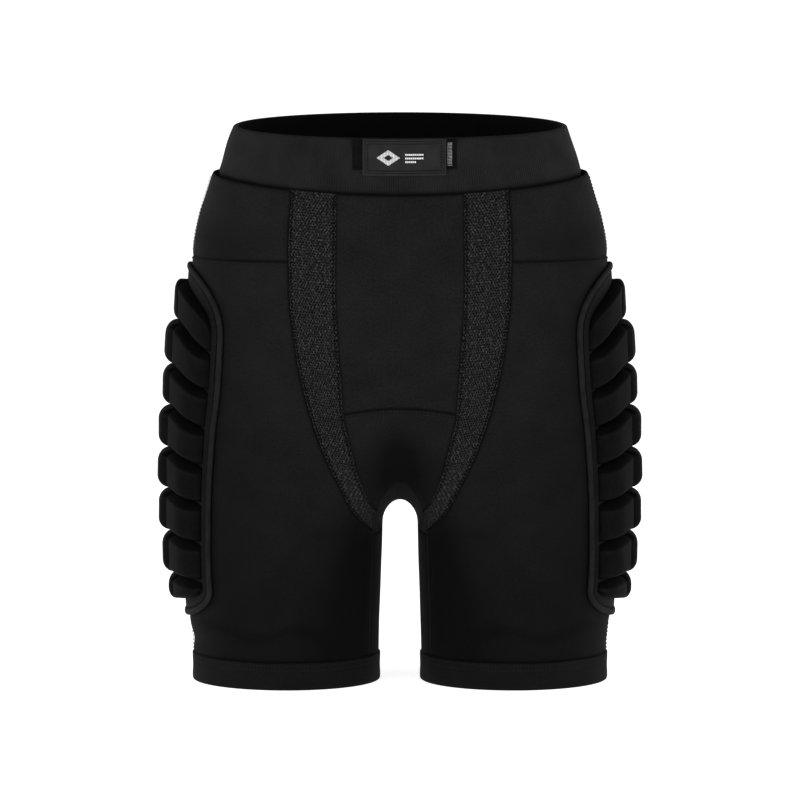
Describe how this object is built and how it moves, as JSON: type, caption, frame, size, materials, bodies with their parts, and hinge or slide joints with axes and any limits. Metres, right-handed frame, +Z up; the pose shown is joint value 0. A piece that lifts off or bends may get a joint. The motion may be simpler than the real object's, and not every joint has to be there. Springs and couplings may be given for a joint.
{
  "type": "padded impact shorts",
  "caption": "Close-fitting padded shorts with open-mesh inserts, segmented foam pads over both hips and the tailbone, and an elastic waistband with a hook-and-loop tab.",
  "frame": {"origin": "centre of the standing footprint, on the plane of the two hems, under the middle of the bounding box", "axes": "+Z up from the hems to the waist rim, -Y the wearer's front, +X the wearer's left"},
  "size_m": [0.4006, 0.2472, 0.4601],
  "materials": {
    "knit": "matt black four-way stretch knit",
    "band_knit": "matt charcoal ribbed stretch knit over elastic",
    "open_mesh": "open air mesh, dark grey threads with black holes",
    "pad_cover": "smooth black stretch cover bonded to moulded foam",
    "pad_backing": "flat pressed foam flange under the blocks",
    "piping": "rolled and stitched fabric edge",
    "elastic": "woven elastic webbing",
    "loop_tape": "brushed nylon loop tape with stitched border",
    "hook_tape": "slightly shiny nylon hook tape",
    "label_cloth": "folded satin-faced tab cloth, dark grey",
    "mark": "plain white woven lozenge"
  },
  "bodies": {
    "shorts": {"front_centre_panel": "knit", "front_gusset": "knit", "front_yoke_left": "knit", "front_yoke_right": "knit", "front_leg_panel_left": "knit", "front_leg_panel_right": "knit", "rear_leg_panel_left": "knit", "rear_leg_panel_right": "knit", "inner_leg_panel_left": "knit", "inner_leg_panel_right": "knit", "crotch_gusset": "knit", "rear_yoke": "knit", "seat_panel": "knit", "hem_band_left": "knit", "hem_band_right": "knit", "waistband_casing": "band_knit", "waistband_elastic": "elastic", "mesh_insert_left": "open_mesh", "mesh_insert_right": "open_mesh", "loop_strip": "loop_tape", "hip_pad_left_backing": "pad_backing", "hip_pad_left_border": "piping", "hip_pad_left_segment_1": "pad_cover", "hip_pad_left_segment_2": "pad_cover", "hip_pad_left_segment_3": "pad_cover", "hip_pad_left_segment_4": "pad_cover", "hip_pad_left_segment_5": "pad_cover", "hip_pad_left_segment_6": "pad_cover", "hip_pad_left_segment_7": "pad_cover", "hip_pad_left_segment_8": "pad_cover", "hip_pad_right_backing": "pad_backing", "hip_pad_right_border": "piping", "hip_pad_right_segment_1": "pad_cover", "hip_pad_right_segment_2": "pad_cover", "hip_pad_right_segment_3": "pad_cover", "hip_pad_right_segment_4": "pad_cover", "hip_pad_right_segment_5": "pad_cover", "hip_pad_right_segment_6": "pad_cover", "hip_pad_right_segment_7": "pad_cover", "hip_pad_right_segment_8": "pad_cover", "seat_pad_backing": "pad_backing", "seat_pad_border": "piping", "seat_pad_segment_1": "pad_cover", "seat_pad_segment_2": "pad_cover", "seat_pad_segment_3": "pad_cover", "seat_pad_segment_4": "pad_cover"},
    "waist_tab": {"label_tab": "label_cloth", "hook_patch": "hook_tape", "label_mark": "mark"}
  },
  "joints": [
    {"name": "tab_peel", "type": "hinge", "parent": "shorts", "child": "waist_tab", "pos_m": [-0.03081, -0.11198, 0.43012], "axis": [0.0013, -0.1685, -0.9857], "range_deg": [0, 130]}
  ]
}
